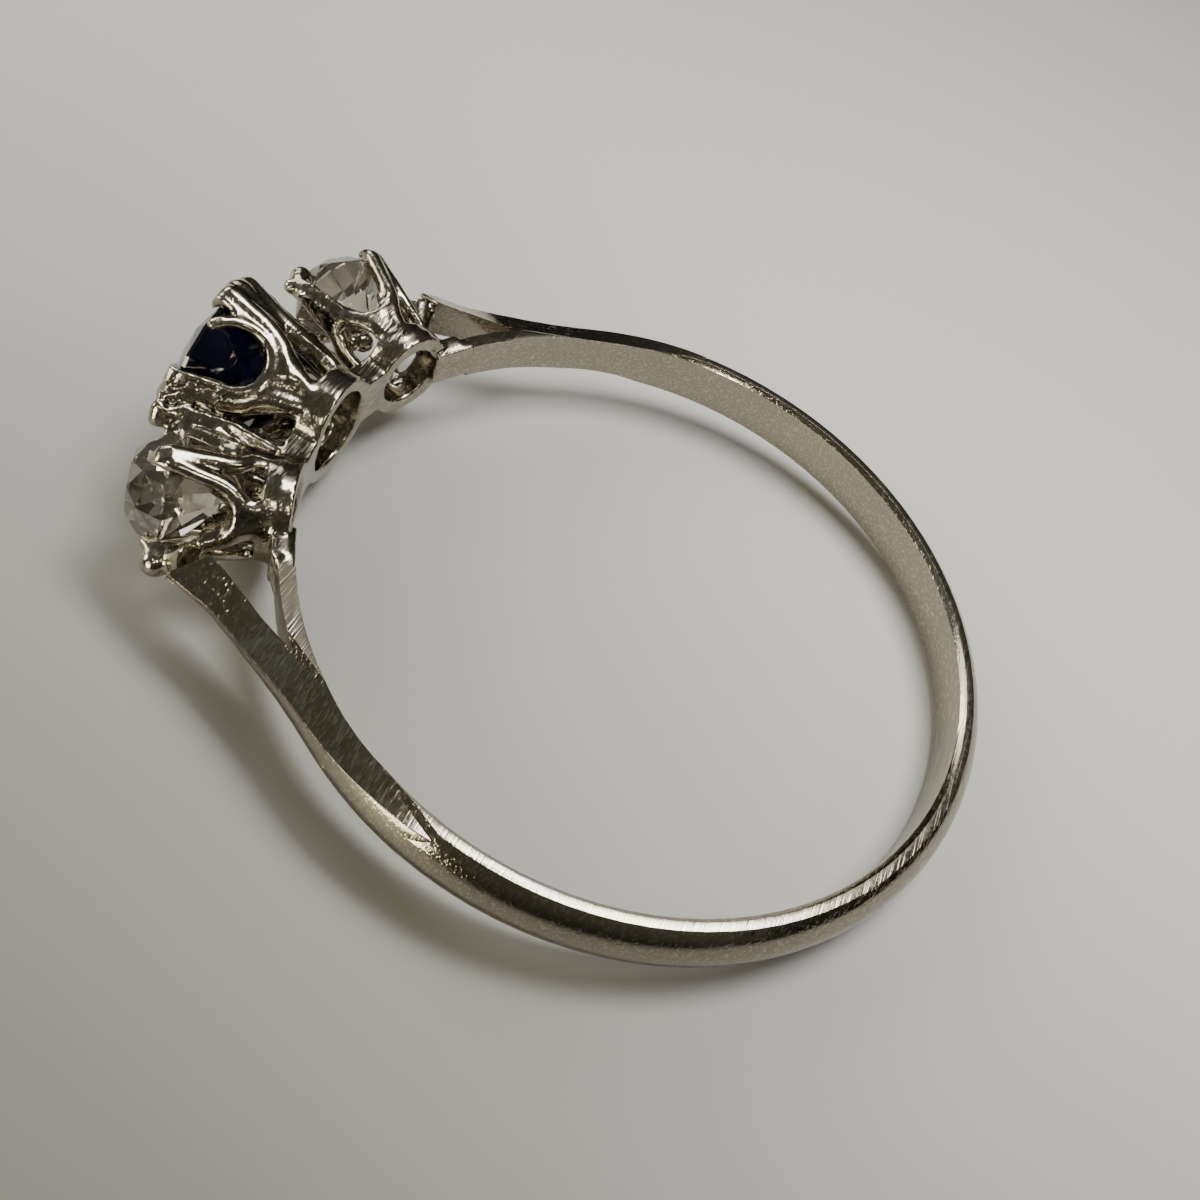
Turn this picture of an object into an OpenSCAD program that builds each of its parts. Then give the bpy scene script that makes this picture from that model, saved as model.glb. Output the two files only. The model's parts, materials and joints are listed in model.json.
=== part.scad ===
// Three stone ring: a split-shoulder band, a pierced gallery and three claw coronets
// soldered into one mount, with a round sapphire between two old-cut diamonds.
// The ring lies on its side. It is drawn on its own axes first, with the finger axis
// along Z and the stones towards +X, and is then leaned onto its lowest claw.

/* [Band] */
// Radius of the finger hole
bore_r = 8.6; // [7:0.1:10.5]
// Width of the band along the finger
band_w = 1.56; // [1.3:0.02:2.2]
// Thickness of the band at its side edges
band_edge_t = 0.32; // [0.24:0.02:0.5]
// Height of the rounded back above the side edges
band_crown = 0.44; // [0.3:0.02:0.5]
// Size of the softened inner edges
edge_chamfer = 0.12; // [0.05:0.01:0.2]

/* [Shoulders] */
// Angle from the centre stone at which the shoulder's ridge turns outwards
bend_angle = 43; // [41:0.5:46]
// How far the shoulder's ridge stands outside the band's back at that bend
bend_rise = 0.39; // [0.3:0.01:0.5]
// Angle from the centre stone at which the shoulder splits in two
fork_angle = 46.5; // [44:0.5:50]
// Thickness of the inner branch of the split
inner_branch_t = 0.38; // [0.3:0.02:0.6]
// Depth of the outer branch where it meets the side setting
outer_branch_t = 0.95; // [0.7:0.05:1.2]
// Width of the shoulders along the finger where they meet the head
shoulder_tip_w = 1.1; // [0.9:0.05:1.5]

/* [Gallery] */
// Step of the gallery outside the finger hole
gallery_step = 0.18; // [0.16:0.01:0.24]
// Thickness of the gallery
gallery_t = 0.74; // [0.6:0.02:1]
// Outer radius of the middle gallery ring
centre_ring_r = 1.5; // [1.4:0.05:1.8]
// Outer radius of each side gallery ring
side_ring_r = 1.27; // [1.15:0.05:1.5]
// Radius of the hole under the centre stone
centre_hole_r = 1.12; // [0.8:0.02:1.14]
// Radius of the hole under each side stone
side_hole_r = 0.84; // [0.6:0.02:0.86]
// Width of the necks that join the gallery rings
neck_w = 1.46; // [1:0.02:1.8]

/* [Settings] */
// Angle between the centre stone and each side stone, seen from the finger's middle
side_angle = 19.6; // [18.5:0.1:22]
// Angle by which the side settings lean outwards
side_lean = 24; // [18:1:28]
// Height of the sapphire's girdle above the gallery
centre_girdle_h = 2.65; // [2.4:0.05:2.9]
// Height of the diamonds' girdles above the gallery
side_girdle_h = 2.05; // [1.9:0.05:2.3]
// How much taller the right coronet stands than the left one
right_rise = 0.3; // [0:0.05:0.4]
// Wall of the coronets at their feet
coronet_wall = 0.4; // [0.32:0.02:0.5]
// Metal outside each stone's girdle
claw_cover = 0.26; // [0.2:0.02:0.34]
// Reach of the claw tips over the sapphire's edge
centre_reach = 0.34; // [0.25:0.01:0.45]
// Reach of the claw tips over each diamond's edge
side_reach = 0.22; // [0.16:0.01:0.3]
// Turn of the middle coronet's claws from the upright
centre_turn = 74; // [66:1:85]
// Turn of the left coronet's claws from the upright
left_turn = 12; // [5:1:22]
// Turn of the right coronet's claws from the upright
right_turn = 34; // [25:1:45]

/* [Stones] */
// Diameter of the sapphire
sapphire_d = 4.3; // [4:0.1:4.6]
// Diameter of each diamond
diamond_d = 2.9; // [2.6:0.1:3.1]
// Height of the sapphire's crown above its girdle
sapphire_crown = 0.5; // [0.4:0.02:0.7]
// Height of each diamond's crown above its girdle
diamond_crown = 0.84; // [0.6:0.02:0.9]
// Clearance between each stone and its setting
stone_gap = 0.04; // [0.03:0.01:0.06]

/* [Hidden] */
$fn = 64;

// A stone's proportions, as shares of its diameter
table_share = 0.56;
girdle_share = 0.02;
pavilion_share = 0.42;

// How far each coronet's foot is let into the gallery
sink = 0.2;
// Ledge under each stone's edge
seat = 0.12;
// Thickness of the claw tips over the stones
tip_t = 0.14;
// End of each shoulder's outer branch: its height, as a share of the side girdle's height, and its
// stand outside the side coronet's lip
branch_end_share = 0.86;
branch_stand = 0.65;
// Slope of the two faces that meet in the outer branch's ridge
ridge_slope = 0.75;
// Radius of the solder inside each branch's end, and of the bead of solder on the left one's claw
solder_r = 0.44;
bead_r = 0.34;
// Angle behind the ridge's start over which the shoulder and the band overlap
ridge_overlap = 4;
// Angle over which a low stub of the side gallery ring carries the inner branch
stub_angle = 10.8;

gallery_in_r = bore_r + gallery_step;
gallery_out_r = gallery_in_r + gallery_t;
band_out_r = bore_r + band_edge_t;
band_top_r = band_out_r + band_crown;

centre_stone_r = sapphire_d / 2;
side_stone_r = diamond_d / 2;

// Radii of the coronets' feet and windows
centre_foot_r = centre_ring_r - 0.1;
side_foot_r = side_ring_r - 0.1;
centre_tip_h = girdle_share * centre_stone_r + centre_reach * sapphire_crown
    / ((1 - table_share) * centre_stone_r) + tip_t;
side_tip_h = girdle_share * side_stone_r + side_reach * diamond_crown
    / ((1 - table_share) * side_stone_r) + tip_t;
centre_window_r = 0.41 * centre_stone_r;
side_window_r = 0.56 * side_stone_r;
// Heights of the windows' middles and of the arches' tops, as shares of the girdles' heights
window_share = 0.66;
arch_share = 0.62;
side_window_share = 0.6;
side_arch_share = 0.92;
// Widening of the windows towards the outside, and of their sides per length upwards
window_draft = 0.6;
centre_flare = 6;
side_flare = 14;
// Width of the pad on which two neighbouring legs stand
foot_pad = 0.9;

// Distances from the finger's middle at which the shoulders' sides start and stop closing in
taper_from = 1.5;
taper_to = 6.5;

// Radius of the band's rounded back, in its section
back_r = (pow(band_w / 2, 2) + pow(band_crown, 2)) / (2 * band_crown);

// The centre coronet's lowest point, on the claw that is nearest to the table, and the lean that
// rests on it
centre_lip_r = centre_stone_r + claw_cover;
claw_half = 45 - asin(centre_window_r / centre_lip_r);
claw_low_x = gallery_out_r + centre_girdle_h;
claw_low_z = centre_lip_r * cos(max(0, abs(90 - centre_turn) - claw_half));
rest_lean = atan((claw_low_z - band_w / 2) / (claw_low_x + band_out_r));
rest_h = band_out_r * sin(rest_lean) + band_w / 2 * cos(rest_lean);
// The middle of the object's length as it lies, from the table facet to the band's back
table_x = claw_low_x + sapphire_crown + girdle_share / 2 * sapphire_d;
front_x = table_x * cos(rest_lean) + table_share * centre_stone_r * sin(rest_lean);
back_x = (band_top_r - back_r) * cos(rest_lean) + back_r;
middle_x = (front_x - back_x) / 2;

// Place of a setting's foot on the gallery and the direction it points in
function foot(angle) = (gallery_out_r - sink) * [cos(angle), sin(angle), 0];

module at_centre() {
    translate(foot(0)) rotate([0, 90, 0]) children();
}

module at_side(side) {
    mirror([0, side > 0 ? 0 : 1, 0])
        translate(foot(side_angle)) rotate([0, 0, side_lean]) rotate([0, 90, 0]) children();
}

// Stones
function ring_points(r, z, count, turn) =
    [for (i = [0:count - 1]) [r * cos(turn + 360 * i / count), r * sin(turn + 360 * i / count), z]];

// Round cut stone: table, 8 stars, 8 kites, 16 upper facets, girdle, 16 lower facets, 8 mains, culet
module round_stone(d, crown) {
    r = d / 2;
    table_r = table_share * r;
    star_r = 0.5 * (table_r + r);
    culet_r = 0.06 * r;
    keel_r = 0.3 * r;
    girdle = girdle_share * d;
    depth = pavilion_share * d;
    half = 22.5;
    star_z = girdle / 2 + crown * (r - star_r * cos(half)) / (r - table_r);
    keel_z = -girdle / 2 - depth * (r - keel_r * cos(half)) / (r - culet_r);
    points = concat(
        ring_points(table_r, girdle / 2 + crown, 8, 0),
        ring_points(star_r, star_z, 8, half),
        ring_points(r, girdle / 2, 16, 0),
        ring_points(r, -girdle / 2, 16, 0),
        ring_points(keel_r, keel_z, 8, half),
        ring_points(culet_r, -girdle / 2 - depth, 8, 0)
    );
    table0 = 0;
    star0 = 8;
    top0 = 16;
    low0 = 32;
    keel0 = 48;
    culet0 = 56;
    faces = concat(
        [[for (i = [7:-1:0]) table0 + i]],
        [for (i = [0:7]) [table0 + i, table0 + (i + 1) % 8, star0 + i]],
        [for (i = [0:7]) [table0 + i, star0 + i, top0 + 2 * i, star0 + (i + 7) % 8]],
        [for (i = [0:7]) [star0 + i, top0 + 2 * i + 1, top0 + 2 * i]],
        [for (i = [0:7]) [star0 + i, top0 + (2 * i + 2) % 16, top0 + 2 * i + 1]],
        [for (i = [0:15]) [top0 + i, top0 + (i + 1) % 16, low0 + (i + 1) % 16, low0 + i]],
        [for (i = [0:7]) [keel0 + i, low0 + 2 * i, low0 + 2 * i + 1]],
        [for (i = [0:7]) [keel0 + i, low0 + 2 * i + 1, low0 + (2 * i + 2) % 16]],
        [for (i = [0:7]) [culet0 + i, keel0 + (i + 7) % 8, low0 + 2 * i, keel0 + i]],
        [for (i = [0:7]) [culet0 + i, keel0 + i, culet0 + (i + 1) % 8]],
        [[for (i = [0:7]) culet0 + i]]
    );
    polyhedron(points, faces, convexity = 4);
}

// The room that a stone needs in its setting, a little larger all round
module stone_room(d, crown) {
    r = d / 2;
    depth = pavilion_share * d;
    edge = girdle_share * d / 2 + stone_gap;
    rotate_extrude() polygon([
        [0, -depth - 2 * edge],
        [r + stone_gap, -edge],
        [r + stone_gap, edge],
        [table_share * r + stone_gap, crown + edge],
        [0, crown + edge],
    ]);
}

// A coronet: a flared cup cut by four round windows from above and four arches from below,
// which leaves four claws, each standing on two legs
module coronet(foot_r, stone_r, girdle_z, reach, tip_h, window_r, window_z, flare, arch_top, claw_turn) {
    lip_r = stone_r + claw_cover;
    window_at = foot_r + (lip_r - foot_r) * window_z / girdle_z;
    difference() {
        rotate_extrude() polygon([
            [foot_r - coronet_wall, 0],
            [foot_r, 0],
            [lip_r, girdle_z],
            [lip_r - 0.05, girdle_z + 0.6 * tip_h],
            [stone_r - 0.3 * reach, girdle_z + tip_h],
            [stone_r - reach, girdle_z + tip_h - 0.06],
            [stone_r - reach, girdle_z],
        ]);
        for (k = [0:3]) {
            rotate([0, 0, 180 - claw_turn + 45 + 90 * k]) translate([window_at, 0, window_z])
                coronet_window(window_r, flare, lip_r);
            rotate([0, 0, 180 - claw_turn + 90 * k]) rotate([90, 0, 90])
                linear_extrude(height = 2 * lip_r) coronet_arch(foot_r, arch_top);
        }
    }
}

// A window, which widens towards the outside: a cone, and a slot above it with leaning sides
module coronet_window(r, flare, height) {
    near = 0.3 * r;
    slot = 0.97;
    reach = (r - near) / window_draft;
    far = r + window_draft * reach;
    translate([-reach, 0, 0]) rotate([0, 90, 0]) cylinder(r1 = near, r2 = far, h = 2 * reach);
    for (side = [-1, 1]) rotate([side * flare, 0, 0]) linear_extrude(height = height)
        polygon([[-reach, -slot * near], [reach, -slot * far], [reach, slot * far], [-reach, slot * near]]);
}

module coronet_arch(foot_r, top_z) {
    half_w = foot_r * PI / 4 - foot_pad / 2;
    polygon([[-half_w, -1], [half_w, -1], [half_w, sink], [0, top_z], [-half_w, sink]]);
}

// The open inside of a setting: the gallery's hole, the coronet's hollow and the stone's room
module coronet_hollow(foot_r, stone_r, girdle_z) {
    cylinder(r1 = foot_r - coronet_wall, r2 = stone_r - seat, h = girdle_z - seat);
}

module gallery_hole(hole_r) {
    translate([0, 0, -gallery_t - 1]) cylinder(r = hole_r, h = gallery_t + 1 + 2 * sink);
}

module centre_setting() {
    girdle_z = sink + centre_girdle_h;
    difference() {
        coronet(centre_foot_r, centre_stone_r, girdle_z, centre_reach, centre_tip_h, centre_window_r,
            window_share * centre_girdle_h + sink, centre_flare, arch_share * centre_girdle_h + sink, centre_turn);
        coronet_hollow(centre_foot_r, centre_stone_r, girdle_z);
        translate([0, 0, girdle_z]) stone_room(sapphire_d, sapphire_crown);
    }
}

module side_setting(girdle_h, claw_turn) {
    girdle_z = sink + girdle_h;
    difference() {
        coronet(side_foot_r, side_stone_r, girdle_z, side_reach, side_tip_h, side_window_r,
            side_window_share * girdle_h + sink, side_flare, side_arch_share * girdle_h + sink, claw_turn);
        coronet_hollow(side_foot_r, side_stone_r, girdle_z);
        translate([0, 0, girdle_z]) stone_room(diamond_d, diamond_crown);
    }
}

// Gallery: three pierced rings in a row, bent to the finger
module gallery() {
    neck_reach = gallery_out_r * sin(side_angle);
    stub_w = 1.2;
    difference() {
        intersection() {
            union() {
                rotate([0, 90, 0]) cylinder(r = centre_ring_r, h = 2 * bore_r);
                for (side = [-1, 1]) rotate([0, 0, side * side_angle]) rotate([0, 90, 0])
                    cylinder(r = side_ring_r, h = 2 * bore_r);
                translate([bore_r / 2, -neck_reach, -neck_w / 2]) cube([bore_r, 2 * neck_reach, neck_w]);
            }
            cylinder(r = gallery_out_r, h = 4 * centre_ring_r, center = true);
        }
        cylinder(r = gallery_in_r, h = 4 * centre_ring_r, center = true);
        at_centre() gallery_hole(centre_hole_r);
        for (side = [-1, 1]) at_side(side) gallery_hole(side_hole_r);
    }
    for (side = [0, 1]) mirror([0, side, 0]) rotate([0, 0, side_angle + 7]) rotate_extrude(angle = stub_angle - 7)
        translate([gallery_in_r, -stub_w / 2]) square([0.5 * gallery_t, stub_w]);
}

// Section of the band: flat sides and a rounded back
module band_section() {
    intersection() {
        translate([bore_r - 0.5, -band_w / 2]) square([band_edge_t + band_crown + 0.5, band_w]);
        translate([band_top_r - back_r, 0]) circle(back_r);
    }
}

// Point of the shoulder's plane at a height over the gallery and a distance from the side setting's axis
function beside(h, out) = gallery_out_r * [cos(side_angle), sin(side_angle)]
    + h * [cos(side_lean), sin(side_lean)] + out * [-sin(side_lean), cos(side_lean)];

// The ridge of a shoulder runs straight from the band's back to the bend, and on to the branch's end
bend = (band_top_r + bend_rise) * [cos(bend_angle), sin(bend_angle)];
ridge_start = bend_angle + acos(band_top_r / norm(bend));
ridge_end = beside(branch_end_share * side_girdle_h, side_stone_r + claw_cover + branch_stand);
ridge_turn = atan2(ridge_end[1] - bend[1], ridge_end[0] - bend[0]);

// A shoulder in plan: the outer branch, its split and what lies behind that, out to well past the ridge
module shoulder_plan() {
    past = norm(bend) + outer_branch_t;
    inner_end = ridge_end - outer_branch_t * [cos(side_lean), sin(side_lean)]
        + 0.3 * outer_branch_t * [sin(side_lean), -cos(side_lean)];
    back = ridge_start + ridge_overlap;
    polygon(concat(
        [2 * ridge_end - inner_end, inner_end, (bore_r + inner_branch_t) * [cos(fork_angle), sin(fork_angle)]],
        [for (a = [fork_angle:2:back]) (bore_r - 0.5) * [cos(a), sin(a)]],
        [past * [cos(back), sin(back)]]
    ));
}

// Outer branch of a shoulder, as far as the planes of one stretch of its ridge leave it
module outer_branch(place, turn) {
    intersection() {
        linear_extrude(height = band_w, center = true) shoulder_plan();
        translate(place) rotate([0, 0, turn]) ridge_prism(1);
    }
}

// A long prism along X, below the two planes that meet in the ridge, or above them with way = -1
module ridge_prism(way) {
    far = 2 * bore_r;
    low = -band_w / ridge_slope;
    rotate([90, 0, 90]) linear_extrude(height = 2 * far, center = true)
        polygon([[low, -band_w], [0, 0], [low, band_w], [-way * far, band_w], [-way * far, -band_w]]);
}

// Solder between a shoulder's outer branch and the coronet beside it: a cone from one point to another
module solder(from, to, r) {
    way = to - from;
    translate(from) rotate([0, acos(way[2] / norm(way)), atan2(way[1], way[0])])
        cylinder(r1 = r, r2 = r / 2, h = norm(way));
}

// Where the solder starts, inside the branch's end
function branch_root() = concat(ridge_end + (beside(0, 0) - beside(0.5, 0.45)) * outer_branch_t, 0);

// The left branch is soldered to the claw beside it, with a bead that stands clear of the stone
module claw_solder() {
    lip_r = side_stone_r + claw_cover;
    bead_stand = side_stone_r + 2 * stone_gap + bead_r;
    solder(branch_root(), concat(beside(0.9 * side_girdle_h, lip_r), -lip_r * sin(left_turn)), solder_r);
    translate(concat(beside(side_girdle_h, bead_stand * cos(left_turn)), -bead_stand * sin(left_turn)))
        sphere(bead_r);
}

// The right branch is soldered to the foot of the coronet beside it
module foot_solder() {
    solder(branch_root(), concat(beside(0.3, side_foot_r), 0), solder_r);
}

// Inner branch of a shoulder, which follows the finger and ends on the gallery's side ring
module inner_branch() {
    ring_end = side_angle + 5;
    intersection() {
        rotate([0, 0, ring_end]) rotate_extrude(angle = fork_angle + 2 - ring_end)
            translate([bore_r - 0.5, -band_w / 2]) square([inner_branch_t + 0.5, band_w]);
        translate(bend) rotate([0, 0, ridge_start - 90]) ridge_prism(1);
    }
}

// Keeps what lies between the shoulders' sides, which close in towards the head
module shoulder_sides() {
    far = 3 * bore_r;
    rotate([90, 0, 0]) linear_extrude(height = far, center = true) polygon([
        [-far, -band_w / 2], [taper_from, -band_w / 2], [taper_to, -shoulder_tip_w / 2], [far, -shoulder_tip_w / 2],
        [far, shoulder_tip_w / 2], [taper_to, shoulder_tip_w / 2], [taper_from, band_w / 2], [-far, band_w / 2],
    ]);
}

// The finger hole with its softened edges
module finger_room() {
    edge_z = band_w / 2 - edge_chamfer;
    wide = bore_r + band_w - edge_z;
    rotate_extrude() polygon([
        [0, -band_w], [wide, -band_w], [bore_r, -edge_z], [bore_r, edge_z], [wide, band_w], [0, band_w],
    ]);
}

// Leaves of a piece what the shoulders' sides and the finger hole leave
module trimmed() {
    difference() {
        intersection() {
            children();
            shoulder_sides();
        }
        finger_room();
    }
}

module shoulder() {
    trimmed() outer_branch(bend, ridge_turn);
    trimmed() outer_branch(bend, ridge_start - 90);
    trimmed() inner_branch();
}

module shank() {
    // Its ends are hidden in the shoulders, and its back is cut there by the planes of the ridges
    band_from = ridge_start - ridge_overlap;
    trimmed() difference() {
        rotate([0, 0, band_from]) rotate_extrude(angle = 360 - 2 * band_from) band_section();
        for (side = [0, 1]) mirror([0, side, 0]) translate(bend) rotate([0, 0, ridge_start - 90]) ridge_prism(-1);
    }
    shoulder();
    mirror([0, 1, 0]) shoulder();
}

module mount_metal() {
    gallery();
    shank();
    at_centre() centre_setting();
    at_side(1) side_setting(side_girdle_h, left_turn);
    at_side(-1) side_setting(side_girdle_h + right_rise, right_turn);
    claw_solder();
    mirror([0, 1, 0]) foot_solder();
}

// Pose: leaned so that the lowest claw of the centre setting and the back of the band touch the table
module lying() {
    translate([-middle_x, 0, rest_h]) rotate([0, -rest_lean, 0]) children();
}

module ring_mount() {
    color("#b9b5a8") lying() mount_metal();
}

module sapphire() {
    color("#0b1a4d") lying() at_centre()
        translate([0, 0, sink + centre_girdle_h]) round_stone(sapphire_d, sapphire_crown);
}

module diamond_left() {
    color("#dfe3e2") lying() at_side(1)
        translate([0, 0, sink + side_girdle_h]) round_stone(diamond_d, diamond_crown);
}

module diamond_right() {
    color("#dfe3e2") lying() at_side(-1)
        translate([0, 0, sink + side_girdle_h + right_rise]) round_stone(diamond_d, diamond_crown);
}

ring_mount();
sapphire();
diamond_left();
diamond_right();
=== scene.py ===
"""Dresses the three stone ring: a worn platinum mount, a sapphire between two old-cut diamonds, and the
pale table that it lies on, under soft room light.

Everything is in metres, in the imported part's own frame. The ring's own axes, which the lumps and the
grain of the metal follow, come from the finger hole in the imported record: X points from the finger to
the middle stone, Y across to the left diamond, and Z along the finger.
"""

import json
import math
import bmesh
import bpy
from mathutils import Euler, Matrix, Vector, noise


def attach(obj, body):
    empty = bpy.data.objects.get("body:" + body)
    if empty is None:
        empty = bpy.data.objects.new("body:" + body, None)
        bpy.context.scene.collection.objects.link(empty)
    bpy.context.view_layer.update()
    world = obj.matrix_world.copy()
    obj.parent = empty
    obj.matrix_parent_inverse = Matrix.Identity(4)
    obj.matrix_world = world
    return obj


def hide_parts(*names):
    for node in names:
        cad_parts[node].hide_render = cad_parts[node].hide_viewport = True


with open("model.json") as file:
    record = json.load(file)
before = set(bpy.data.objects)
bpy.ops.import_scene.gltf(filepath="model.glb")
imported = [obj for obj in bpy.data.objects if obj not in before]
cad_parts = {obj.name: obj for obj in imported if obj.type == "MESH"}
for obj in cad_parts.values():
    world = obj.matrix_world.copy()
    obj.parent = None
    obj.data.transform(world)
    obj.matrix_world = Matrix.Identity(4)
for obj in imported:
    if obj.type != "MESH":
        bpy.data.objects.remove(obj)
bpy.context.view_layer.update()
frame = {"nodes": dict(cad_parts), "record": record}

bl_info = {
    "name": "Three Stone Ring",
    "version": (1, 0, 0),
    "blender": (4, 5, 0),
    "location": "3D View > Sidebar > Ring",
    "description": "Worn platinum mount, sapphire and old-cut diamonds of a three stone ring on a pale table",
    "category": "Object",
}

MM = 0.001
PHOTO_SIDE = 1200

# The camera that fits the photograph: its place, its turn and its focal length in the photograph's pixels
CAMERA_PLACE_MM = (-2.589, 19.907, 24.379)
CAMERA_TURN_DEG = (38.07, -13.88, -157.66)
CAMERA_FOCAL_PX = 1200
SENSOR_MM = 36

# Sizes of the mount that the rounded legs, beads and solder are set out from, in millimetres and degrees,
# as in the part's source. A setting's own axes stand at its foot on the gallery: Z goes up through its
# stone, X along the finger, and Y away from the middle stone. Angles round it go from X to Y. Side is 1 on
# the left and -1 on the right; girdle, window and arch are the heights of the stone's girdle, of the windows'
# middles and of the arches' tops; claws is the angle of the first claw.
FOOT_R = 9.32
# How far each setting's foot is let into the gallery
SINK = 0.2
SIDE_SETTING = dict(
    foot=19.6,  # angle of its foot from the middle stone
    lean=24,  # angle by which it leans away from the middle stone
    foot_r=1.17,
    lip_r=1.71,
    window_r=0.81,
    arch_w=0.47,  # half width of an arch at its bottom
    flare=14,  # lean of the windows' sides
    leg_r=0.22,
    tip_r=0.27,
    collar=1.08,  # radius of the swell round its foot
    rim=(0.32, 0.22),  # depth and radius of the bead round a window
    rim_reach=(-6, 6),  # ends of that bead, in steps of RIM_STEP from the window's bottom
)
SETTINGS = {
    "middle": dict(
        side=1, foot=0, lean=0, foot_r=1.4, lip_r=2.41, girdle=2.85, window_r=0.88, window=1.95, arch=1.84,
        arch_w=0.65, flare=6, claws=74, leg_r=0.34, tip_r=0.44, rim=(0.12, 0.16), rim_reach=(-13, 7),
    ),
    "left": dict(SIDE_SETTING, side=1, girdle=2.25, window=1.43, arch=2.09, claws=12),
    "right": dict(SIDE_SETTING, side=-1, girdle=2.55, window=1.61, arch=2.36, claws=34),
}
# Where the beads on a setting start and lie: the legs' lowest point, and how deep the beads of the legs and
# of the claws' tips lie under the wall, as shares of their own radii
LEG_FROM = 0.25
LEG_STEPS = 12
LEG_DEPTH = 0.72
TIP_DEPTH = 0.8
RIM_STEP = 12
# Distance between the balls of a bead, as a share of their radius
BALL_STEP = 0.6
# The swell of the gallery round a side setting's foot: its radius, and its height over the foot
COLLAR_R = 0.24
COLLAR_HEIGHT = -0.17
# Beads of metal and solder in the ring's own axes: points along each bead, and its radius at each of them
SOLDER = [
    # The tall claw between the sapphire and the left diamond, and the ridge along it
    ([(12.1, 2.8, 0.5), (11.7, 2.45, 0.52), (11.2, 2.25, 0.5), (10.6, 2.05, 0.45), (9.4, 1.95, 0.4)],
     [0.22, 0.27, 0.26, 0.24, 0.22]),
    ([(12.1, 2.76, 0.62), (11.68, 2.34, 0.76), (11.23, 2.19, 0.74), (10.63, 1.99, 0.68), (9.4, 1.92, 0.6)],
     [0.22, 0.1, 0.09, 0.1, 0.1]),
    ([(12.12, 2.68, 0.78)], [0.2]),
    ([(12.2, 2.42, 0.95), (11.9, 2.2, 0.95), (11.58, 2.07, 0.93)], [0.13, 0.1, 0.08]),
    ([(10.95, 2.4, 0.52), (10.85, 2.3, 0.58), (10.6, 2.3, 0.5)], [0.1, 0.13, 0.1]),
    # The ends of the sapphire's two near legs
    ([(10.3, 0.36, 1.5), (10.12, 0.46, 1.42)], [0.26, 0.3]),
    ([(10.7, -1.1, 1.3), (10.4, -1.1, 1.25)], [0.3, 0.26]),
    # Solder inside the bases of the sapphire's and the right diamond's settings
    ([(10.45, 0.95, -0.5), (10.6, 0.3, -0.9), (10.6, -0.3, -0.8)], [0.3, 0.36, 0.3]),
    ([(10.15, -3.1, -0.1), (10.45, -3.85, -0.4)], [0.26, 0.3]),
    # The tall claw between the sapphire and the right diamond, and the rough solder along it
    ([(12.05, -3.5, 0.75), (11.9, -3.2, 0.8), (11.7, -2.95, 0.85), (11.1, -2.85, 0.85), (10.4, -2.7, 0.75)],
     [0.32, 0.32, 0.28, 0.24, 0.2]),
    ([(12.0, -2.9, 0.86)], [0.22]),
    ([(11.6, -2.65, 0.98)], [0.12]),
    ([(11.35, -2.95, 1.05)], [0.13]),
    ([(11.05, -2.7, 0.95)], [0.12]),
    ([(10.8, -2.95, 0.92)], [0.13]),
    ([(9.95, -3.45, -0.2)], [0.3]),
    # The seams between the gallery and the shoulders' inner branches, one at each corner
    *[
        ([(7.78, 4.36 * y, 0.34 * z), (7.52, 4.68 * y, 0.34 * z), (7.3, 4.98 * y, 0.38 * z)],
         [0.26, 0.22, 0.13])
        for y in (1, -1)
        for z in (1, -1)
    ],
    # The necks of the gallery
    ([(8.95, 2.2, 0.66), (8.7, 2.25, 0.7)], [0.15, 0.13]),
    ([(8.95, -2.2, 0.66), (8.75, -2.3, 0.7)], [0.13, 0.15]),
]
# The outer wall of a shoulder, in degrees from the middle stone and in millimetres: how far its outside and
# its foot stand from the finger's middle, and half the width of each
SHOULDER = [
    # angle, outside, its half width, foot, its half width
    (32.4, 11.34, 0.07, 10.4, 0.5),
    (37.2, 10.48, 0.1, 9.74, 0.45),
    (41.7, 10.06, 0.13, 9.29, 0.35),
    (46.5, 9.73, 0.17, 8.96, 0.44),
    (50.7, 9.51, 0.24, 8.7, 0.54),
    (55.0, 9.4, 0.3, 8.61, 0.57),
    (58.8, 9.37, 0.36, 8.61, 0.57),
    (65.0, 9.365, 0.45, 8.61, 0.6),
    (70.0, 9.365, 0.53, 8.61, 0.64),
    (77.0, 9.365, 0.62, 8.62, 0.66),
    (81.0, 9.34, 0.66, 8.62, 0.66),
]
# Radius of the band's rounded back, which the shoulders' walls share, and the round along the walls' edges
CROWN = 0.91
WALL_EDGE = 0.1
# Distance from a side setting's axis at which the filed shank starts, and how far the cast head laps over it.
# Behind HEAD_FROM_X, seen from the finger's middle, all is shank.
SHANK_FROM = 1.95
SHANK_LAP = 0.2
HEAD_FROM_X = 3
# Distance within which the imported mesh's corners are one, and the sharpest bend that still shades smoothly
MERGE = 0.0005
SMOOTH_DEG = 13

# The stage, in millimetres from the part's origin and in degrees
LAMPS = [
    # name, place, point it shines at, radius, cone, share of the lamp's power, colour
    ("lamp_behind", (-38, -40, 160), (-4, -8, 0), 55, 60, 1.0, "#FFFDF8"),
    ("lamp_left", (100, -75, 80), (-4, -8, 0), 40, 60, 0.12, "#FFFDF8"),
    # These three only glint in the metal
    ("glint_low", (17, 34, 10), (-2, 5, 2), 10, 90, 0.022, "#FFF4D8"),
    ("glint_high", (-7.3, 14, 25), (2, 0, 2), 1.8, 90, 0.0016, "#FFF8E4"),
    ("glint_side", (8.1, 16.8, 21.7), (2, 0, 2), 1.5, 90, 0.0007, "#FFF8E4"),
]
# The room's walls and ceiling, by the height looked up to, from 0 on the horizon to 1 overhead
WALLS = [(0.0, "#3A352D"), (0.12, "#4A453C"), (0.5, "#918F89"), (1.0, "#A5A39E")]
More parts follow.
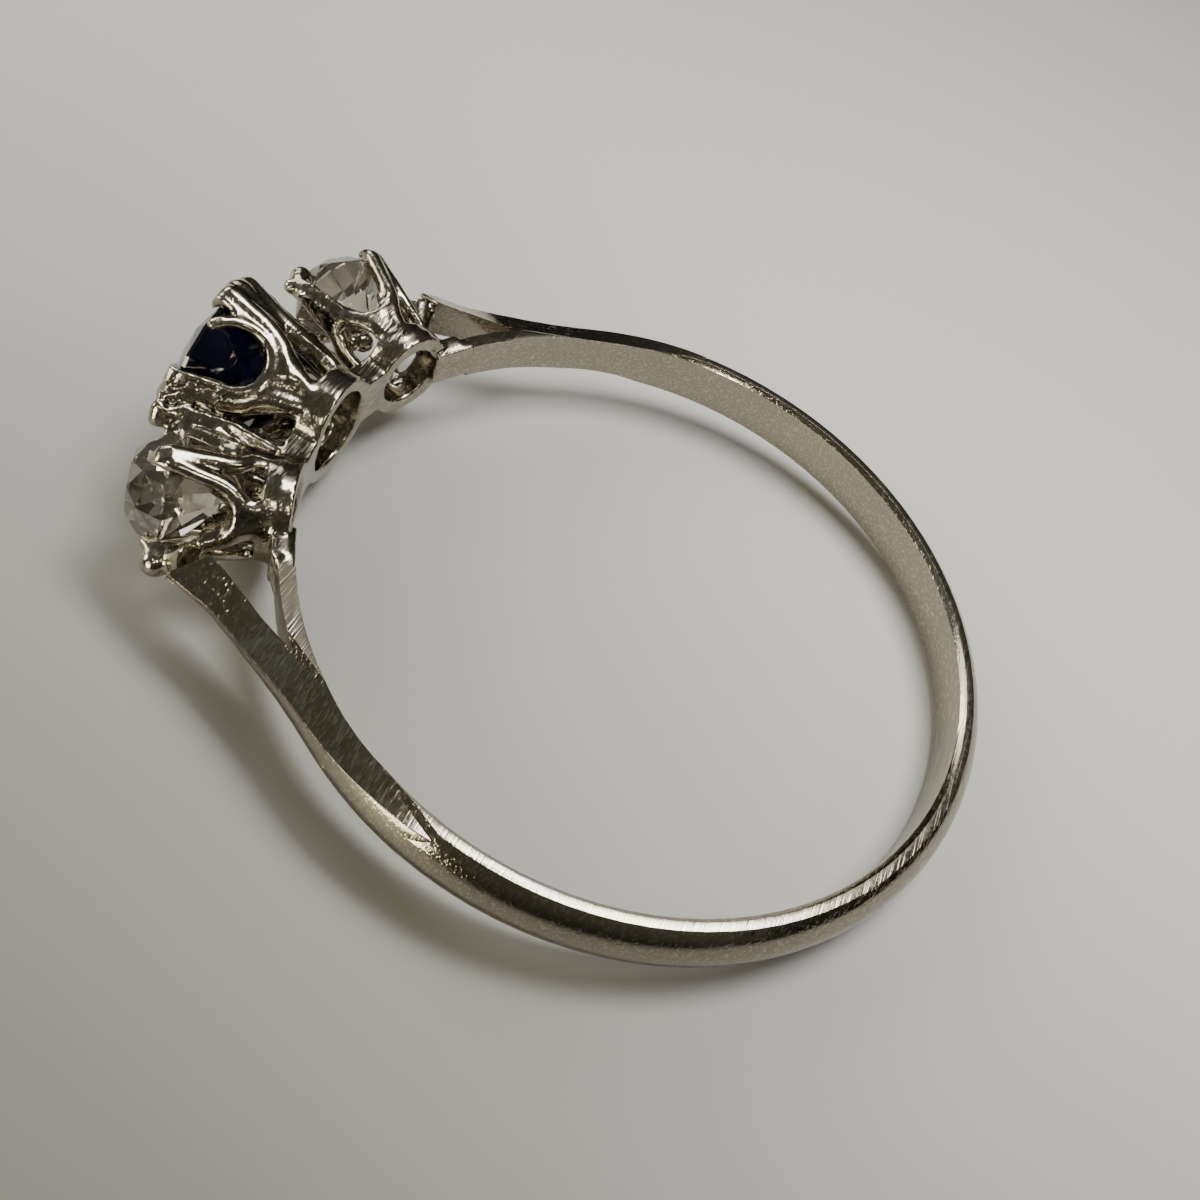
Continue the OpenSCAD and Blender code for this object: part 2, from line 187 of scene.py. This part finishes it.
# What stands out in the room: the windows, the lamps and a dark wall
WINDOWS = [
    # direction, angles from it at which the patch is full and at which it ends, colour, gain
    ((-0.09, -0.42, 0.9), 9, 22, "#F6F4EE", 5.0),
    ((0.75, 0.15, 0.65), 24, 46, "#949699", 2.4),
    ((0.0, 0.97, 0.12), 10, 30, "#382818", 1.0),
    ((-0.8, -0.1, 0.55), 4, 7, "#FFF4D8", 30.0),
    ((0.75, -0.5, 0.4), 4, 7, "#FFF4DC", 30.0),
    ((-0.62, 0.35, 0.7), 3, 5, "#FFF6E0", 30.0),
    ((0.35, 0.6, 0.72), 2, 4, "#FFF6E0", 30.0),
    ((0.9, 0.25, 0.35), 12, 17, "#FFF2D0", 20.0),
]
# The card behind the camera: its size, its turn, and its place in the camera's axes
CARD_SIZE = (68, 104)
CARD_TURN = 25
CARD_PLACE = (4, -13, 2)
CARD_COLOUR = "#93938C"
TABLE_HALF = 150


# Sizes and colours that can be changed


class RingMetalSettings(bpy.types.PropertyGroup):
    edge: bpy.props.FloatProperty(
        name="Edge",
        description="Width of the wear on the shank's edges",
        default=0.05 * MM,
        min=0.005 * MM,
        max=0.1 * MM,
        subtype="DISTANCE",
        unit="LENGTH",
    )
    skin: bpy.props.FloatProperty(
        name="Skin",
        description="Size of the net that wraps the head, and so the softness of its worn edges",
        default=0.056 * MM,
        min=0.04 * MM,
        max=0.2 * MM,
        subtype="DISTANCE",
        unit="LENGTH",
    )
    polish: bpy.props.IntProperty(
        name="Polish",
        description="How often the wrapped skin is smoothed",
        default=12,
        min=0,
        max=20,
    )
    ripple: bpy.props.FloatProperty(
        name="Ripple",
        description="Height of the ripples that the file and the torch left in the metal",
        default=0.012 * MM,
        min=0,
        max=0.05 * MM,
        subtype="DISTANCE",
        unit="LENGTH",
    )
    colour: bpy.props.StringProperty(
        name="Platinum",
        description="Colour of the bare metal, as sRGB hex",
        default="#989282",
    )
    # Partly painted highlight: the colour that outward corners lighten to, partly as wear; the scratches use
    # it too
    wear_and_edge_highlight: bpy.props.StringProperty(
        name="Worn edges",
        description="Colour of the metal on its worn edges and in its scratches, as sRGB hex",
        default="#CBC6B6",
    )
    # Painted shade: the colour that the metal darkens to in its inward corners
    corner_shade: bpy.props.StringProperty(
        name="Painted_shade",
        description="Colour of the metal in its shaded corners, as sRGB hex",
        default="#2E2921",
    )


class RingStoneSettings(bpy.types.PropertyGroup):
    sapphire: bpy.props.StringProperty(
        name="Sapphire",
        description="Colour of the sapphire, as sRGB hex",
        default="#070E30",
    )
    diamond: bpy.props.StringProperty(
        name="Diamond",
        description="Colour of the diamonds, as sRGB hex",
        default="#D9D3C4",
    )


class RingStageSettings(bpy.types.PropertyGroup):
    table: bpy.props.StringProperty(
        name="Table",
        description="Colour of the table, as sRGB hex",
        default="#B4B4B2",
    )
    lamp: bpy.props.FloatProperty(
        name="Lamp",
        description="Strength of the lamp behind and above the ring, in watts",
        default=2.15,
        min=0,
    )
    room: bpy.props.FloatProperty(
        name="Room light",
        description="Strength of the light that comes from the rest of the room",
        default=0.28,
        min=0,
    )


# Help for meshes and materials


def ring_axes():
    """The ring's own axes in the part's frame."""
    finger = frame["record"]["mounts"][0]
    along = Vector(finger["axis"]).normalized()
    across = Vector((0, 1, 0))
    outward = across.cross(along)
    axes = Matrix((outward, across, along)).transposed().to_4x4()
    axes.translation = Vector(finger["pos_m"])
    return axes


def linear(hex_colour):
    """An sRGB hex colour as linear red, green, blue and alpha."""
    parts = [int(hex_colour[i : i + 2], 16) / 255 for i in (1, 3, 5)]
    return (*[c / 12.92 if c <= 0.04045 else ((c + 0.055) / 1.055) ** 2.4 for c in parts], 1)


def add_node(material, kind, settings=None, **inputs):
    """Adds a node to a material or world, with its settings. An input is a value or another node's socket."""
    tree = material.node_tree
    node = tree.nodes.new(kind)
    for name, value in (settings or {}).items():
        setattr(node, name, value)
    for name, value in inputs.items():
        socket = node.inputs[int(name[1:])] if name[1:].isdigit() else node.inputs[name.replace("_", " ")]
        if isinstance(value, bpy.types.NodeSocket):
            tree.links.new(value, socket)
        else:
            socket.default_value = value
    return node


def add_noise(material, place, size, detail, roughness):
    """A noise pattern with lumps of a size in millimetres."""
    pattern = dict(Scale=1 / (size * MM), Detail=detail, Roughness=roughness)
    return add_node(material, "ShaderNodeTexNoise", Vector=place, **pattern).outputs["Fac"]


def add_range(material, value, low, high, to_low=0.0, to_high=1.0):
    """A value between two limits, as a value between two others."""
    limits = dict(From_Min=low, From_Max=high, To_Min=to_low, To_Max=to_high)
    return add_node(material, "ShaderNodeMapRange", Value=value, **limits).outputs[0]


def add_mix(material, share, first, second):
    """A colour between two colours."""
    mix = add_node(material, "ShaderNodeMix", {"data_type": "RGBA"}, _0=share, _6=first, _7=second)
    return mix.outputs[2]


def add_sum(material, operation, *values):
    """What a sum such as MAXIMUM or MULTIPLY makes of some values."""
    inputs = {f"_{i}": value for i, value in enumerate(values)}
    return add_node(material, "ShaderNodeMath", {"operation": operation}, **inputs).outputs[0]


def add_bump(material, height, depth, strength, inward=False, **over):
    """Low relief of a depth in millimetres, over another relief if one is given as Normal."""
    relief = dict(Strength=strength, Distance=depth * MM, Height=height)
    return add_node(material, "ShaderNodeBump", {"invert": inward}, **relief, **over).outputs[0]


def new_material(name):
    material = bpy.data.materials.new(name)
    material.use_nodes = True
    material.node_tree.nodes.clear()
    return material


def dress(piece, material):
    piece.data.materials.clear()
    piece.data.materials.append(material)


def new_piece(name, mesh):
    piece = bpy.data.objects.new(name, mesh)
    bpy.context.scene.collection.objects.link(piece)
    return piece


def finished_mesh(context, rough):
    """The mesh that an object's modifiers give. The object itself goes."""
    graph = context.evaluated_depsgraph_get()
    mesh = bpy.data.meshes.new_from_object(rough.evaluated_get(graph))
    bpy.data.objects.remove(rough)
    return mesh


def setting_axes(setting):
    """A setting's own axes in the part's frame, in metres."""
    foot, lean, side = math.radians(setting["foot"]), math.radians(setting["lean"]), setting["side"]
    up = Vector((math.cos(lean), side * math.sin(lean), 0))
    away = Vector((-math.sin(lean), side * math.cos(lean), 0))
    axes = Matrix((Vector((0, 0, 1)), away, up)).transposed().to_4x4()
    axes.translation = FOOT_R * MM * Vector((math.cos(foot), side * math.sin(foot), 0))
    return ring_axes() @ axes


def wall_radius(setting, height):
    """Radius of a setting's flared wall at a height."""
    return setting["foot_r"] + (setting["lip_r"] - setting["foot_r"]) * height / setting["girdle"]


def leg_angle(setting, height):
    """Angle in degrees from a claw's middle to the middle of either of its legs, at a height."""
    wall = wall_radius(setting, height)
    below = setting["window"] - height
    if below > 0:
        window = math.sqrt(max(0, setting["window_r"] ** 2 - below**2))
    else:
        window = setting["window_r"] - below * math.tan(math.radians(setting["flare"]))
    arch = setting["arch_w"] * max(0, setting["arch"] - max(SINK, height)) / (setting["arch"] - SINK)
    outer = 45 - math.degrees(math.asin(min(1, window / wall)))
    inner = math.degrees(math.asin(arch / wall))
    return (inner + outer) / 2


def on_wall(setting, height, claw, angle, depth):
    """A point inside a setting's wall, by its height, its angle from a claw and its depth."""
    turn = math.radians(setting["claws"] + 90 * claw + angle)
    radius = wall_radius(setting, height) - depth
    return Vector((radius * math.cos(turn), radius * math.sin(turn), height))


def lay_bead(balls, axes, line, radii):
    """Lays balls, each a place and a radius, along a line of points, closely enough to melt into one bead."""
    for start, end, r0, r1 in zip(line, line[1:], radii, radii[1:]):
        count = max(1, math.ceil((end - start).length / (BALL_STEP * min(r0, r1))))
        for i in range(count):
            share = i / count
            balls.append((axes @ (start.lerp(end, share) * MM), (r0 + (r1 - r0) * share) * MM))
    balls.append((axes @ (line[-1] * MM), radii[-1] * MM))


def add_balls(shape, balls):
    """Adds a ball at each place, from one round pattern."""
    for place, radius in balls:
        pattern = bmesh.new()
        bmesh.ops.create_icosphere(pattern, subdivisions=2, radius=radius, matrix=Matrix.Translation(place))
        mesh = bpy.data.meshes.new("ball")
        pattern.to_mesh(mesh)
        pattern.free()
        shape.from_mesh(mesh)
        bpy.data.meshes.remove(mesh)


def packed_part(cut, keep_head):
    """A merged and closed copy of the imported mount's head or of its shank, cut beside the side settings."""
    shape = bmesh.new()
    shape.from_mesh(frame["nodes"]["ring_mount"].data)
    bmesh.ops.remove_doubles(shape, verts=shape.verts, dist=MERGE * MM)
    planes = []
    for name in ("left", "right"):
        axes = setting_axes(SETTINGS[name])
        planes.append((axes @ Vector((0, cut * MM, 0)), axes.to_3x3() @ Vector((0, 1, 0))))
    to_ring = ring_axes().inverted()

    def beyond(point):
        """Whether a point is on the shank's side of both cuts."""
        ring_point = to_ring @ point
        if ring_point.x < HEAD_FROM_X * MM:
            return True
        place, away = planes[0] if ring_point.y > 0 else planes[1]
        return (point - place).dot(away) > 0

    for side, (place, away) in zip((1, -1), planes):
        middles = {face: to_ring @ face.calc_center_median() for face in shape.faces}
        near = [face for face, at in middles.items() if at.x > HEAD_FROM_X * MM and side * at.y > 0]
        edges = {edge for face in near for edge in face.edges}
        verts = {vert for face in near for vert in face.verts}
        bmesh.ops.bisect_plane(
            shape, geom=[*verts, *edges, *near], dist=0.0001 * MM, plane_co=place, plane_no=away
        )
    drop = [face for face in shape.faces if beyond(face.calc_center_median()) == keep_head]
    bmesh.ops.delete(shape, geom=drop, context="FACES")
    bmesh.ops.holes_fill(shape, edges=[edge for edge in shape.edges if edge.is_boundary], sides=0)
    return shape


# Materials


def platinum(name, settings, lumps, worn_and_highlit_edges):
    """Platinum, worked by hand and then worn for years: a warm grey metal with soft, slightly rippled
    reflections, fine bright scratches in all directions, and painted shade that darkens its inward corners.
    Lumps says how much of the torch's ripples the metal keeps, and the last argument whether its outward
    corners are lightened, partly as wear and partly as a painted highlight."""
    material = new_material(name)
    place = add_node(material, "ShaderNodeTexCoord").outputs["Object"]
    # Ripples about 0.6 mm long, from the torch, and grain about 0.14 mm across
    ripple = add_noise(material, place, 0.6, 2.0, 0.5)
    grain = add_noise(material, place, 0.14, 3.0, 0.6)
    # Scratches 0.07 mm wide and about 1.5 mm long, in three directions
    scratches = None
    for turn in ((0.5, 0.2, 0.3), (0.2, 0.7, 1.5), (-0.4, 0.3, 2.4)):
        along = add_node(material, "ShaderNodeMapping", Vector=place, Scale=(1, 0.045, 1), Rotation=turn)
        line = add_noise(material, along.outputs[0], 0.07, 1.0, 0.4)
        thin = add_range(material, line, 0.6, 0.72)
        scratches = thin if scratches is None else add_sum(material, "MAXIMUM", scratches, thin)
    relief = add_bump(material, ripple, 0.016 * lumps, 0.8)
    relief = add_bump(material, grain, 0.004 * (0.4 + lumps), 0.6, Normal=relief)
    relief = add_bump(material, scratches, 0.003, 0.7, inward=True, Normal=relief)
    # Pointiness is 0.5 on flat metal, less in its inward corners and more on its outward ones
    corner = add_node(material, "ShaderNodeNewGeometry").outputs["Pointiness"]
    # Painted shade: the metal darkens towards the corner shade colour in its inward corners, where shade
    # would fall
    outside_corner_shade = add_range(material, corner, 0.42, 0.51)
    tone = add_mix(material, outside_corner_shade, linear(settings.corner_shade), linear(settings.colour))
    # Painted highlight, partly real wear: the head's outward corners lighten towards the edge colour
    worn = add_sum(material, "MULTIPLY", add_range(material, corner, 0.52, 0.6), float(worn_and_highlit_edges))
    bright = add_sum(material, "MULTIPLY_ADD", scratches, 0.5, worn)
    metal = add_node(
        material,
        "ShaderNodeBsdfPrincipled",
        Base_Color=add_mix(material, bright, tone, linear(settings.wear_and_edge_highlight)),
        Metallic=1.0,
        Roughness=add_range(material, grain, 0.3, 0.7, 0.08, 0.2),
        Normal=relief,
    )
    add_node(material, "ShaderNodeOutputMaterial", Surface=metal.outputs[0])
    return material


def cut_stone(name, colour, ior, clear):
    """A cut and polished stone: clear and glossy inside sharp facets, with a little cloud in it."""
    material = new_material(name)
    place = add_node(material, "ShaderNodeTexCoord").outputs["Object"]
    # Clouds and feathers about 0.6 mm across
    veil = add_noise(material, place, 0.6, 5.0, 0.7)
    cloud = 0.3
    tint = add_range(material, veil, 0.45, 0.75, 1.0, 1 - cloud)
    clouded = (*[c * (1 - cloud) for c in linear(colour)[:3]], 1)
    glass = add_node(
        material,
        "ShaderNodeBsdfPrincipled",
        Base_Color=add_mix(material, tint, clouded, linear(colour)),
        Roughness=0.03,
        IOR=ior,
        Transmission_Weight=clear,
    )
    add_node(material, "ShaderNodeOutputMaterial", Surface=glass.outputs[0])
    return material


def table_top(settings):
    """Laminate board with a fine matt texture: pale, warm grey and almost without gloss."""
    material = new_material("table_matt_laminate")
    place = add_node(material, "ShaderNodeTexCoord").outputs["Object"]
    # Specks about 0.3 mm across
    speck = add_noise(material, place, 0.3, 4.0, 0.6)
    grain = add_bump(material, speck, 0.02, 0.15)
    board = add_node(
        material,
        "ShaderNodeBsdfPrincipled",
        Base_Color=linear(settings.table),
        Roughness=0.55,
        Normal=grain,
    )
    add_node(material, "ShaderNodeOutputMaterial", Surface=board.outputs[0])
    return material


# Pieces


class RING_OT_make_stage(bpy.types.Operator):
    """Makes the camera, the table and the light of the room"""

    bl_idname = "ring.make_stage"
    bl_label = "Make the stage"

    def execute(self, context):
        settings = context.scene.ring_stage
        self.make_camera(context)
        self.make_table(settings)
        self.make_light(context, settings)
        return {"FINISHED"}

    def make_camera(self, context):
        data = bpy.data.cameras.new("camera")
        data.sensor_width = SENSOR_MM
        data.lens = SENSOR_MM * CAMERA_FOCAL_PX / PHOTO_SIDE
        data.clip_start = MM
        data.clip_end = 10
        camera = bpy.data.objects.new("camera", data)
        camera.location = Vector(CAMERA_PLACE_MM) * MM
        camera.rotation_euler = Euler([math.radians(a) for a in CAMERA_TURN_DEG])
        context.scene.collection.objects.link(camera)
        context.scene.camera = camera

    def make_table(self, settings):
        shape = bmesh.new()
        bmesh.ops.create_grid(shape, x_segments=8, y_segments=8, size=TABLE_HALF * MM)
        mesh = bpy.data.meshes.new("table")
        shape.to_mesh(mesh)
        shape.free()
        table = new_piece("table", mesh)
        dress(table, table_top(settings))

    def make_light(self, context, settings):
        for name, place, target, radius, cone, share, colour in LAMPS:
            data = bpy.data.lights.new(name, "SPOT")
            data.shadow_soft_size = radius * MM
            data.spot_size = math.radians(cone)
            data.spot_blend = 1
            data.energy = settings.lamp * share
            data.color = linear(colour)[:3]
            lamp = bpy.data.objects.new(name, data)
            lamp.location = Vector(place) * MM
            lamp.rotation_euler = (Vector(place) - Vector(target)).to_track_quat("Z", "Y").to_euler()
            lamp.visible_diffuse = not name.startswith("glint")
            context.scene.collection.objects.link(lamp)
        context.scene.world = self.room(settings)
        self.make_flag(context)

    def make_flag(self, context):
        """A grey card behind the camera, which shades the near side of the table and shows in the metal."""
        shape = bmesh.new()
        bmesh.ops.create_grid(shape, x_segments=1, y_segments=1, size=0.5)
        bmesh.ops.scale(shape, vec=(CARD_SIZE[0] * MM, CARD_SIZE[1] * MM, 1), verts=shape.verts)
        bmesh.ops.rotate(shape, matrix=Matrix.Rotation(math.radians(CARD_TURN), 3, "Z"), verts=shape.verts)
        bmesh.ops.translate(shape, vec=Vector(CARD_PLACE) * MM, verts=shape.verts)
        camera = context.scene.camera
        place = Matrix.Translation(camera.location) @ camera.rotation_euler.to_matrix().to_4x4()
        bmesh.ops.transform(shape, matrix=place, verts=shape.verts)
        mesh = bpy.data.meshes.new("flag")
        shape.to_mesh(mesh)
        shape.free()
        flag = new_piece("flag", mesh)
        flag.visible_camera = False
        material = new_material("flag_grey_card")
        card = add_node(material, "ShaderNodeBsdfDiffuse", Color=linear(CARD_COLOUR))
        add_node(material, "ShaderNodeOutputMaterial", Surface=card.outputs[0])
        dress(flag, material)

    def room(self, settings):
        """The room as the metal shows it: a light ceiling, darker walls, windows and lamps."""
        world = bpy.data.worlds.new("room")
        world.use_nodes = True
        world.node_tree.nodes.clear()
        way = add_node(world, "ShaderNodeTexCoord").outputs["Generated"]
        height = add_node(world, "ShaderNodeSeparateXYZ", Vector=way).outputs["Z"]
        walls = add_node(world, "ShaderNodeValToRGB", Fac=height)
        ramp = walls.color_ramp
        for element, (position, colour) in zip(ramp.elements, (WALLS[0], WALLS[-1])):
            element.position = position
            element.color = linear(colour)
        for position, colour in WALLS[1:-1]:
            element = ramp.elements.new(position)
            element.color = linear(colour)
        light = walls.outputs["Color"]
        for towards, full, end, colour, gain in WINDOWS:
            towards = Vector(towards).normalized()
            near = add_node(world, "ShaderNodeVectorMath", {"operation": "DOT_PRODUCT"}, _0=way, _1=towards)
            share = add_node(
                world,
                "ShaderNodeMapRange",
                {"interpolation_type": "SMOOTHSTEP"},
                Value=near.outputs["Value"],
                From_Min=math.cos(math.radians(end)),
                From_Max=math.cos(math.radians(full)),
            )
            patch = (*[c * gain for c in linear(colour)[:3]], 1)
            light = add_mix(world, share.outputs[0], light, patch)
        glow = add_node(world, "ShaderNodeBackground", Color=light, Strength=settings.room)
        add_node(world, "ShaderNodeOutputWorld", Surface=glow.outputs[0])
        return world


class RING_OT_make_mount(bpy.types.Operator):
    """Makes the worn mount: a cast and soldered head on a filed shank"""

    bl_idname = "ring.make_mount"
    bl_label = "Make the mount"

    def execute(self, context):
        settings = context.scene.ring_metal
        mesh = bpy.data.meshes.new("mount_worn")
        both = bmesh.new()
        # The head has the first material, and the shank the second
        for index, part in enumerate((self.head(context, settings), self.shank(context, settings))):
            first = len(both.faces)
            both.from_mesh(part)
            both.faces.ensure_lookup_table()
            for face in both.faces[first:]:
                face.material_index = index
        both.to_mesh(mesh)
        both.free()
        mesh.materials.append(platinum("platinum_cast_and_soldered", settings, lumps=1.0, worn_and_highlit_edges=True))
        mesh.materials.append(platinum("platinum_filed_and_worn", settings, lumps=0.12, worn_and_highlit_edges=False))
        mount = new_piece("mount_worn", mesh)
        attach(mount, "root")
        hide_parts("ring_mount")
        return {"FINISHED"}

    def head(self, context, settings):
        """The settings and the gallery, with rounded legs, beads and solder, under one worn skin."""
        shape = packed_part(SHANK_FROM + SHANK_LAP, keep_head=True)
        balls = []
        for setting in SETTINGS.values():
            self.round_legs(balls, setting)
        self.round_collar(balls, SETTINGS["left"])
        self.round_collar(balls, SETTINGS["right"])
        for line, radii in SOLDER:
            lay_bead(balls, ring_axes(), [Vector(point) for point in line], radii)
        add_balls(shape, balls)
        mesh = bpy.data.meshes.new("rough_head")
        shape.to_mesh(mesh)
        shape.free()
        rough = new_piece("rough_head", mesh)
        wrap = rough.modifiers.new("skin", "REMESH")
        wrap.mode = "VOXEL"
        wrap.voxel_size = settings.skin
        polish = rough.modifiers.new("polish", "SMOOTH")
        polish.factor = 0.5
        polish.iterations = settings.polish
        skin = finished_mesh(context, rough)
        self.ripple(skin, settings.ripple)
        skin.shade_smooth()
        return skin

    def shank(self, context, settings):
        """The band and the split shoulders, with their outer walls and softened edges."""
        shape = packed_part(SHANK_FROM, keep_head=False)
        bmesh.ops.dissolve_limit(
            shape, angle_limit=math.radians(1), verts=shape.verts, edges=shape.edges, delimit={"NORMAL"}
        )
        for side in (1, -1):
            self.shoulder_wall(shape, side)
        mesh = bpy.data.meshes.new("rough_shank")
        shape.to_mesh(mesh)
        shape.free()
        rough = new_piece("rough_shank", mesh)
        soften = rough.modifiers.new("soften", "BEVEL")
        soften.width = settings.edge
        soften.segments = 3
        soften.limit_method = "ANGLE"
        soften.angle_limit = math.radians(30)
        mesh = finished_mesh(context, rough)
        mesh.shade_smooth()
        mesh.set_sharp_from_angle(angle=math.radians(SMOOTH_DEG))
        return mesh

    def shoulder_wall(self, shape, side):
        """Adds the worn outer wall of a shoulder over its ridge: a flat bar, bent to the ring and tapered."""
        bar = bmesh.new()
        bmesh.ops.create_grid(bar, x_segments=36, y_segments=8, size=1)
        bmesh.ops.solidify(bar, geom=bar.faces[:], thickness=1)
        middle = sum(vert.co.z for vert in bar.verts) / len(bar.verts)
        outside = {vert for vert in bar.verts if vert.co.z > middle}
        edges = [edge for edge in bar.edges if all(v in outside and abs(v.co.y) > 0.99 for v in edge.verts)]
        axes = ring_axes()
        for vert in bar.verts:
            angle = SHOULDER[0][0] + (vert.co.x + 1) / 2 * (SHOULDER[-1][0] - SHOULDER[0][0])
            low, high = next(pair for pair in zip(SHOULDER, SHOULDER[1:]) if angle <= pair[1][0] + 1e-6)
            share = (angle - low[0]) / (high[0] - low[0])
            radius, half, foot, foot_half = (a + (b - a) * share for a, b in zip(low[1:], high[1:]))
            if vert in outside:
                width = vert.co.y * half
                radius += math.sqrt(CROWN**2 - width**2) - CROWN
            else:
                width, radius = vert.co.y * foot_half, foot
            turn = math.radians(angle)
            vert.co = axes @ (MM * Vector((radius * math.cos(turn), side * radius * math.sin(turn), width)))
        bmesh.ops.bevel(
            bar,
            geom=edges,
            offset=WALL_EDGE * MM,
            offset_type="OFFSET",
            segments=5,
            profile=0.5,
            affect="EDGES",
            material=-1,
            clamp_overlap=True,
        )
        bmesh.ops.recalc_face_normals(bar, faces=bar.faces)
        mesh = bpy.data.meshes.new("bar")
        bar.to_mesh(mesh)
        bar.free()
        shape.from_mesh(mesh)
        bpy.data.meshes.remove(mesh)

    def round_legs(self, balls, setting):
        """Rounds the two legs of each claw, and lays a bead on its tip and round the window beside it."""
        axes = setting_axes(setting)
        leg_r, tip_r = setting["leg_r"], setting["tip_r"]
        for claw in range(4):
            for way in (-1, 1):
                line = []
                for step in range(LEG_STEPS + 1):
                    height = LEG_FROM + (setting["girdle"] - LEG_FROM) * step / LEG_STEPS
                    angle = way * leg_angle(setting, height)
                    line.append(on_wall(setting, height, claw, angle, LEG_DEPTH * leg_r))
                lay_bead(balls, axes, line, [leg_r] * len(line))
            root = on_wall(setting, setting["arch"] + 0.1, claw, 0, tip_r)
            tip = on_wall(setting, setting["girdle"], claw, 0, TIP_DEPTH * tip_r)
            lay_bead(balls, axes, [root, tip], [tip_r, tip_r])
            self.round_window(balls, axes, setting, claw)

    def round_window(self, balls, axes, setting, claw):
        """Lays the rounded rim of the window beside a claw."""
        depth, radius = setting["rim"]
        first, last = setting["rim_reach"]
        line = []
        for step in range(first, last + 1):
            turn = math.radians(RIM_STEP * step)
            height = setting["window"] - (setting["window_r"] - 0.3 * radius) * math.cos(turn)
            across = math.degrees(setting["window_r"] * math.sin(turn) / wall_radius(setting, height))
            line.append(on_wall(setting, height, claw, 45 + across, depth))
        lay_bead(balls, axes, line, [radius] * len(line))

    def round_collar(self, balls, setting):
        """Swells the gallery's ring under a setting."""
        radius = setting["collar"]
        line = [
            Vector((radius * math.cos(turn), radius * math.sin(turn), COLLAR_HEIGHT))
            for turn in (math.radians(10 * step) for step in range(37))
        ]
        lay_bead(balls, setting_axes(setting), line, [COLLAR_R] * len(line))

    def ripple(self, mesh, height):
        """Moves the skin in and out a little, in waves about 0.5 mm long, more in than out."""
        wave = 0.5 * MM
        shape = bmesh.new()
        shape.from_mesh(mesh)
        shape.normal_update()
        for vert in shape.verts:
            vert.co += vert.normal * height * (noise.noise(vert.co / wave) - 0.2)
        shape.to_mesh(mesh)
        shape.free()


class RING_OT_set_stones(bpy.types.Operator):
    """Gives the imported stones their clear, polished materials"""

    bl_idname = "ring.set_stones"
    bl_label = "Set the stones"

    def execute(self, context):
        settings = context.scene.ring_stones
        sapphire = cut_stone("sapphire_cut_and_polished", settings.sapphire, ior=1.77, clear=1.0)
        diamond = cut_stone("diamond_old_cut", settings.diamond, ior=2.3, clear=0.93)
        dress(frame["nodes"]["sapphire"], sapphire)
        dress(frame["nodes"]["diamond_left"], diamond)
        dress(frame["nodes"]["diamond_right"], diamond)
        return {"FINISHED"}


class RING_PT_sidebar(bpy.types.Panel):
    """Lists the pieces of the ring and their sizes and colours"""

    bl_idname = "RING_PT_sidebar"
    bl_label = "Three stone ring"
    bl_space_type = "VIEW_3D"
    bl_region_type = "UI"
    bl_category = "Ring"

    def draw(self, context):
        scene = context.scene
        for label, settings in (
            ("Stage", scene.ring_stage),
            ("Mount", scene.ring_metal),
            ("Stones", scene.ring_stones),
        ):
            box = self.layout.box()
            box.label(text=label)
            for name in type(settings).__annotations__:
                box.prop(settings, name)
        for operator in (RING_OT_make_stage, RING_OT_make_mount, RING_OT_set_stones):
            self.layout.operator(operator.bl_idname)


CLASSES = (
    RingMetalSettings,
    RingStoneSettings,
    RingStageSettings,
    RING_OT_make_stage,
    RING_OT_make_mount,
    RING_OT_set_stones,
    RING_PT_sidebar,
)


def register():
    for cls in CLASSES:
        bpy.utils.register_class(cls)
    bpy.types.Scene.ring_metal = bpy.props.PointerProperty(type=RingMetalSettings)
    bpy.types.Scene.ring_stones = bpy.props.PointerProperty(type=RingStoneSettings)
    bpy.types.Scene.ring_stage = bpy.props.PointerProperty(type=RingStageSettings)


def unregister():
    for name in ("ring_metal", "ring_stones", "ring_stage"):
        delattr(bpy.types.Scene, name)
    for cls in reversed(CLASSES):
        bpy.utils.unregister_class(cls)


def main():
    register()
    bpy.ops.ring.make_stage()
    bpy.ops.ring.make_mount()
    bpy.ops.ring.set_stones()


if __name__ == "__main__":
    main()
